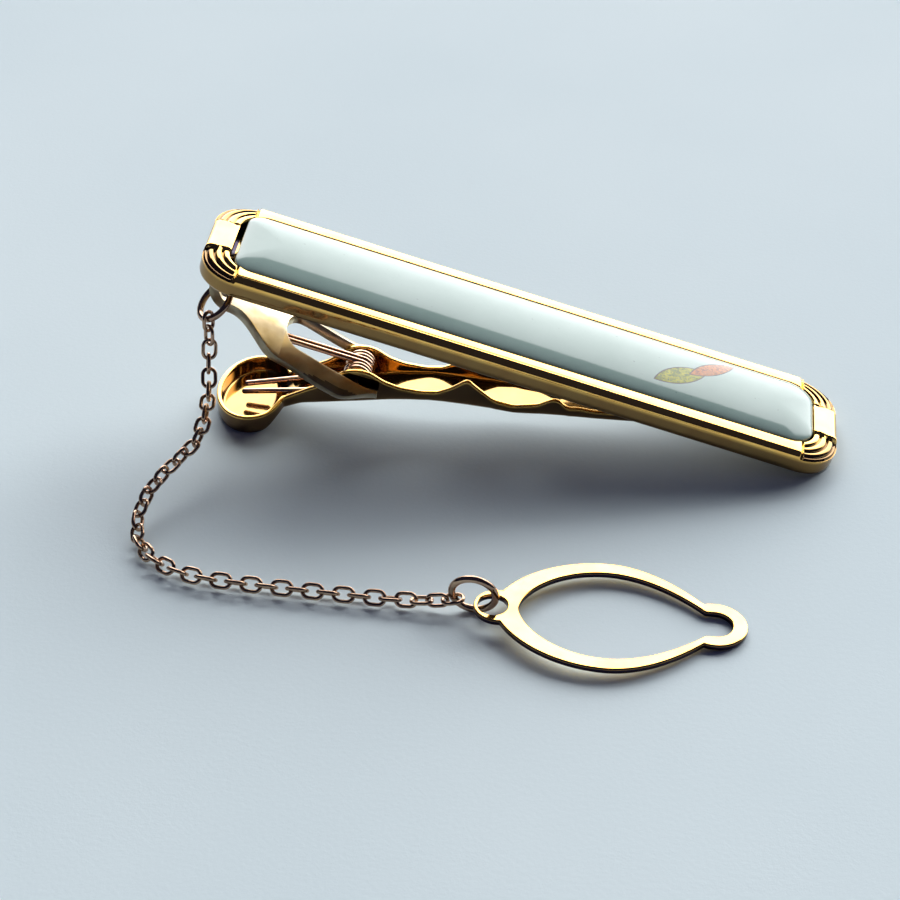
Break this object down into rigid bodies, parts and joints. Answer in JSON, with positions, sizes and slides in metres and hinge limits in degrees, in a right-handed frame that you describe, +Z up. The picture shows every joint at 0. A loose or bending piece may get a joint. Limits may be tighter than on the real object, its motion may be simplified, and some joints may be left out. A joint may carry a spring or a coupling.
{
  "type": "tie clip",
  "caption": "Leaning tie clip: enamelled bar, sprung jaw on a slotted bracket, and a fine link chain ending in a button loop.",
  "frame": {"origin": "centre of the bottom of the box round the clip as it lies on a table", "axes": "+X along the clip towards the end of the bar that rests on the table, +Y from the button loop towards the bar, +Z up"},
  "size_m": [0.0574, 0.0388, 0.0173],
  "materials": {
    "gold_plate": "polished gold-coloured plating",
    "gilt_wire": "gold-coloured wire, reflecting dark",
    "celadon_enamel": "glossy domed enamel"
  },
  "bodies": {
    "bar": {"bar_frame": "gold_plate", "enamel_inlay": "celadon_enamel", "spring_bracket": "gold_plate", "hinge_pin": "gilt_wire", "torsion_spring": "gilt_wire"},
    "jaw": {"jaw": "gold_plate"},
    "bar_ring": {"bar_ring": "gilt_wire"},
    "chain_link_01": {"chain_link_01": "gilt_wire"},
    "chain_link_02": {"chain_link_02": "gilt_wire"},
    "chain_link_03": {"chain_link_03": "gilt_wire"},
    "chain_link_04": {"chain_link_04": "gilt_wire"},
    "chain_link_05": {"chain_link_05": "gilt_wire"},
    "chain_link_06": {"chain_link_06": "gilt_wire"},
    "chain_link_07": {"chain_link_07": "gilt_wire"},
    "chain_link_08": {"chain_link_08": "gilt_wire"},
    "chain_link_09": {"chain_link_09": "gilt_wire"},
    "chain_link_10": {"chain_link_10": "gilt_wire"},
    "chain_link_11": {"chain_link_11": "gilt_wire"},
    "chain_link_12": {"chain_link_12": "gilt_wire"},
    "chain_link_13": {"chain_link_13": "gilt_wire"},
    "chain_link_14": {"chain_link_14": "gilt_wire"},
    "chain_link_15": {"chain_link_15": "gilt_wire"},
    "chain_link_16": {"chain_link_16": "gilt_wire"},
    "chain_link_17": {"chain_link_17": "gilt_wire"},
    "chain_link_18": {"chain_link_18": "gilt_wire"},
    "chain_link_19": {"chain_link_19": "gilt_wire"},
    "chain_link_20": {"chain_link_20": "gilt_wire"},
    "chain_link_21": {"chain_link_21": "gilt_wire"},
    "chain_link_22": {"chain_link_22": "gilt_wire"},
    "chain_link_23": {"chain_link_23": "gilt_wire"},
    "chain_link_24": {"chain_link_24": "gilt_wire"},
    "chain_link_25": {"chain_link_25": "gilt_wire"},
    "chain_link_26": {"chain_link_26": "gilt_wire"},
    "chain_link_27": {"chain_link_27": "gilt_wire"},
    "chain_link_28": {"chain_link_28": "gilt_wire"},
    "chain_link_29": {"chain_link_29": "gilt_wire"},
    "chain_link_30": {"chain_link_30": "gilt_wire"},
    "chain_link_31": {"chain_link_31": "gilt_wire"},
    "chain_link_32": {"chain_link_32": "gilt_wire"},
    "chain_link_33": {"chain_link_33": "gilt_wire"},
    "chain_link_34": {"chain_link_34": "gilt_wire"},
    "chain_link_35": {"chain_link_35": "gilt_wire"},
    "chain_link_36": {"chain_link_36": "gilt_wire"},
    "chain_link_37": {"chain_link_37": "gilt_wire"},
    "chain_link_38": {"chain_link_38": "gilt_wire"},
    "chain_link_39": {"chain_link_39": "gilt_wire"},
    "chain_link_40": {"chain_link_40": "gilt_wire"},
    "chain_link_41": {"chain_link_41": "gilt_wire"},
    "chain_link_42": {"chain_link_42": "gilt_wire"},
    "end_ring": {"end_ring": "gilt_wire"},
    "button_loop": {"button_loop": "gold_plate"}
  },
  "joints": [
    {"name": "a_jaw_opens", "type": "hinge", "parent": "bar", "child": "jaw", "pos_m": [-0.01272, 0.01347, 0.00419], "axis": [0, 1, 0], "range_deg": [0, 16], "stiffness_Nm_per_rad": 0.02, "springref_deg": -28.65, "deforming": ["torsion_spring"]},
    {"name": "b_bar_ring_swings", "type": "hinge", "parent": "bar", "child": "bar_ring", "pos_m": [-0.02476, 0.01358, 0.01186], "axis": [-0.5807, -0.2908, 0.7604], "range_deg": [-14, 14]},
    {"name": "link_01_turns", "type": "hinge", "parent": "bar_ring", "child": "chain_link_01", "pos_m": [-0.02504, 0.01051, 0.01068], "axis": [0.8575, -0.4891, 0.16], "range_deg": [-15, 15]},
    {"name": "link_02_turns", "type": "hinge", "parent": "chain_link_01", "child": "chain_link_02", "pos_m": [-0.02499, 0.01019, 0.00948], "axis": [-0.7122, -0.6808, 0.1712], "range_deg": [-15, 15]},
    {"name": "link_03_turns", "type": "hinge", "parent": "chain_link_02", "child": "chain_link_03", "pos_m": [-0.02495, 0.00987, 0.00828], "axis": [-0.4119, 0.8603, -0.3003], "range_deg": [-15, 15]},
    {"name": "link_04_turns", "type": "hinge", "parent": "chain_link_03", "child": "chain_link_04", "pos_m": [-0.02502, 0.00944, 0.00712], "axis": [0.96, 0.26, -0.1038], "range_deg": [-15, 15]},
    {"name": "link_05_turns", "type": "hinge", "parent": "chain_link_04", "child": "chain_link_05", "pos_m": [-0.02494, 0.0089, 0.00599], "axis": [0.1185, -0.7173, 0.6866], "range_deg": [-15, 15]},
    {"name": "link_06_turns", "type": "hinge", "parent": "chain_link_05", "child": "chain_link_06", "pos_m": [-0.0248, 0.008, 0.00517], "axis": [-0.9934, -0.1144, 0], "range_deg": [-15, 15]},
    {"name": "link_07_turns", "type": "hinge", "parent": "chain_link_06", "child": "chain_link_07", "pos_m": [-0.02467, 0.00683, 0.00477], "axis": [-0.0167, 0.2697, -0.9628], "range_deg": [-15, 15]},
    {"name": "link_08_turns", "type": "hinge", "parent": "chain_link_07", "child": "chain_link_08", "pos_m": [-0.02461, 0.00564, 0.00445], "axis": [1, -0.0006, 0], "range_deg": [-15, 15]},
    {"name": "link_09_turns", "type": "hinge", "parent": "chain_link_08", "child": "chain_link_09", "pos_m": [-0.02461, 0.00446, 0.00405], "axis": [-0.0261, -0.323, 0.946], "range_deg": [-15, 15]},
    {"name": "link_10_turns", "type": "hinge", "parent": "chain_link_09", "child": "chain_link_10", "pos_m": [-0.0247, 0.00329, 0.00364], "axis": [-0.9683, 0.2498, 0], "range_deg": [-15, 15]},
    {"name": "link_11_turns", "type": "hinge", "parent": "chain_link_10", "child": "chain_link_11", "pos_m": [-0.02505, 0.00215, 0.00331], "axis": [0.0959, 0.1964, -0.9758], "range_deg": [-15, 15]},
    {"name": "link_12_turns", "type": "hinge", "parent": "chain_link_11", "child": "chain_link_12", "pos_m": [-0.02565, 0.0011, 0.00306], "axis": [0.8707, -0.4918, 0], "range_deg": [-15, 15]},
    {"name": "link_13_turns", "type": "hinge", "parent": "chain_link_12", "child": "chain_link_13", "pos_m": [-0.02624, 0.00003, 0.00283], "axis": [-0.147, -0.1281, 0.9808], "range_deg": [-15, 15]},
    {"name": "link_14_turns", "type": "hinge", "parent": "chain_link_13", "child": "chain_link_14", "pos_m": [-0.02682, -0.00105, 0.00261], "axis": [-0.8778, 0.4501, -0.1637], "range_deg": [-15, 15]},
    {"name": "link_15_turns", "type": "hinge", "parent": "chain_link_14", "child": "chain_link_15", "pos_m": [-0.02733, -0.00215, 0.00237], "axis": [0.3184, 0.1092, -0.9416], "range_deg": [-15, 15]},
    {"name": "link_16_turns", "type": "hinge", "parent": "chain_link_15", "child": "chain_link_16", "pos_m": [-0.02773, -0.00329, 0.00209], "axis": [0.8898, -0.3006, 0.3434], "range_deg": [-15, 15]},
    {"name": "link_17_turns", "type": "hinge", "parent": "chain_link_16", "child": "chain_link_17", "pos_m": [-0.02798, -0.00447, 0.00178], "axis": [-0.4663, -0.2195, 0.857], "range_deg": [-15, 15]},
    {"name": "link_18_turns", "type": "hinge", "parent": "chain_link_17", "child": "chain_link_18", "pos_m": [-0.02807, -0.00564, 0.00139], "axis": [-0.8584, 0.087, -0.5055], "range_deg": [-15, 15]},
    {"name": "link_19_turns", "type": "hinge", "parent": "chain_link_18", "child": "chain_link_19", "pos_m": [-0.02795, -0.00682, 0.00101], "axis": [0.5388, 0.3206, -0.7791], "range_deg": [-15, 15]},
    {"name": "link_20_turns", "type": "hinge", "parent": "chain_link_19", "child": "chain_link_20", "pos_m": [-0.02754, -0.00798, 0.00084], "axis": [0.6607, 0.3144, 0.6817], "range_deg": [-15, 15]},
    {"name": "link_21_turns", "type": "hinge", "parent": "chain_link_20", "child": "chain_link_21", "pos_m": [-0.0269, -0.00904, 0.00077], "axis": [-0.5259, -0.4731, 0.7069], "range_deg": [-15, 15]},
    {"name": "link_22_turns", "type": "hinge", "parent": "chain_link_21", "child": "chain_link_22", "pos_m": [-0.02606, -0.00996, 0.00075], "axis": [-0.4438, -0.5505, -0.7071], "range_deg": [-15, 15]},
    {"name": "link_23_turns", "type": "hinge", "parent": "chain_link_22", "child": "chain_link_23", "pos_m": [-0.02507, -0.0107, 0.00075], "axis": [0.3525, 0.613, -0.7071], "range_deg": [-15, 15]},
    {"name": "link_24_turns", "type": "hinge", "parent": "chain_link_23", "child": "chain_link_24", "pos_m": [-0.02398, -0.01129, 0.00075], "axis": [0.2635, 0.6562, 0.7071], "range_deg": [-15, 15]},
    {"name": "link_25_turns", "type": "hinge", "parent": "chain_link_24", "child": "chain_link_25", "pos_m": [-0.02281, -0.01172, 0.00075], "axis": [-0.1766, -0.6847, 0.7071], "range_deg": [-15, 15]},
    {"name": "link_26_turns", "type": "hinge", "parent": "chain_link_25", "child": "chain_link_26", "pos_m": [-0.0216, -0.012, 0.00075], "axis": [-0.1082, -0.6988, -0.7071], "range_deg": [-15, 15]},
    {"name": "link_27_turns", "type": "hinge", "parent": "chain_link_26", "child": "chain_link_27", "pos_m": [-0.02037, -0.01217, 0.00075], "axis": [0.0696, 0.7037, -0.7071], "range_deg": [-15, 15]},
    {"name": "link_28_turns", "type": "hinge", "parent": "chain_link_27", "child": "chain_link_28", "pos_m": [-0.01914, -0.01228, 0.00075], "axis": [0.0553, 0.7049, 0.7071], "range_deg": [-15, 15]},
    {"name": "link_29_turns", "type": "hinge", "parent": "chain_link_28", "child": "chain_link_29", "pos_m": [-0.0179, -0.01237, 0.00075], "axis": [-0.0476, -0.7055, 0.7071], "range_deg": [-15, 15]},
    {"name": "link_30_turns", "type": "hinge", "parent": "chain_link_29", "child": "chain_link_30", "pos_m": [-0.01666, -0.01245, 0.00075], "axis": [-0.0382, -0.7061, -0.7071], "range_deg": [-15, 15]},
    {"name": "link_31_turns", "type": "hinge", "parent": "chain_link_30", "child": "chain_link_31", "pos_m": [-0.01542, -0.01252, 0.00075], "axis": [0.0318, 0.7064, -0.7071], "range_deg": [-15, 15]},
    {"name": "link_32_turns", "type": "hinge", "parent": "chain_link_31", "child": "chain_link_32", "pos_m": [-0.01418, -0.01257, 0.00075], "axis": [0.0303, 0.7065, 0.7071], "range_deg": [-15, 15]},
    {"name": "link_33_turns", "type": "hinge", "parent": "chain_link_32", "child": "chain_link_33", "pos_m": [-0.01294, -0.01262, 0.00075], "axis": [-0.0301, -0.7065, 0.7071], "range_deg": [-15, 15]},
    {"name": "link_34_turns", "type": "hinge", "parent": "chain_link_33", "child": "chain_link_34", "pos_m": [-0.0117, -0.01268, 0.00075], "axis": [-0.0322, -0.7064, -0.7071], "range_deg": [-15, 15]},
    {"name": "link_35_turns", "type": "hinge", "parent": "chain_link_34", "child": "chain_link_35", "pos_m": [-0.01046, -0.01273, 0.00074], "axis": [0.0274, 0.7066, -0.7071], "range_deg": [-15, 15]},
    {"name": "link_36_turns", "type": "hinge", "parent": "chain_link_35", "child": "chain_link_36", "pos_m": [-0.00922, -0.01278, 0.00074], "axis": [0.0226, 0.7067, 0.7071], "range_deg": [-15, 15]},
    {"name": "link_37_turns", "type": "hinge", "parent": "chain_link_36", "child": "chain_link_37", "pos_m": [-0.00798, -0.01282, 0.00075], "axis": [-0.0292, -0.7664, 0.6417], "range_deg": [-15, 15]},
    {"name": "link_38_turns", "type": "hinge", "parent": "chain_link_37", "child": "chain_link_38", "pos_m": [-0.00674, -0.01286, 0.00077], "axis": [0.0144, -0.5096, -0.8603], "range_deg": [-15, 15]},
    {"name": "link_39_turns", "type": "hinge", "parent": "chain_link_38", "child": "chain_link_39", "pos_m": [-0.0055, -0.01287, 0.0008], "axis": [0.0237, 0.9315, -0.3631], "range_deg": [-15, 15]},
    {"name": "link_40_turns", "type": "hinge", "parent": "chain_link_39", "child": "chain_link_40", "pos_m": [-0.00426, -0.01289, 0.00085], "axis": [-0.0785, 0.208, 0.975], "range_deg": [-15, 15]},
    {"name": "link_41_turns", "type": "hinge", "parent": "chain_link_40", "child": "chain_link_41", "pos_m": [-0.00303, -0.01289, 0.00096], "axis": [0.0157, -0.9988, 0.0465], "range_deg": [-15, 15]},
    {"name": "link_42_turns", "type": "hinge", "parent": "chain_link_41", "child": "chain_link_42", "pos_m": [-0.0018, -0.01285, 0.00115], "axis": [0.1637, 0.0064, -0.9865], "range_deg": [-15, 15]},
    {"name": "c_end_ring_swings", "type": "hinge", "parent": "chain_link_42", "child": "end_ring", "pos_m": [-0.00131, -0.01275, 0.00128], "axis": [0.0722, 0.9836, 0.165], "range_deg": [-14, 14]},
    {"name": "d_button_loop_tips", "type": "hinge", "parent": "end_ring", "child": "button_loop", "pos_m": [0.00176, -0.01333, 0.00089], "axis": [-0.0349, 0.9994, 0], "range_deg": [-15, 15]}
  ]
}
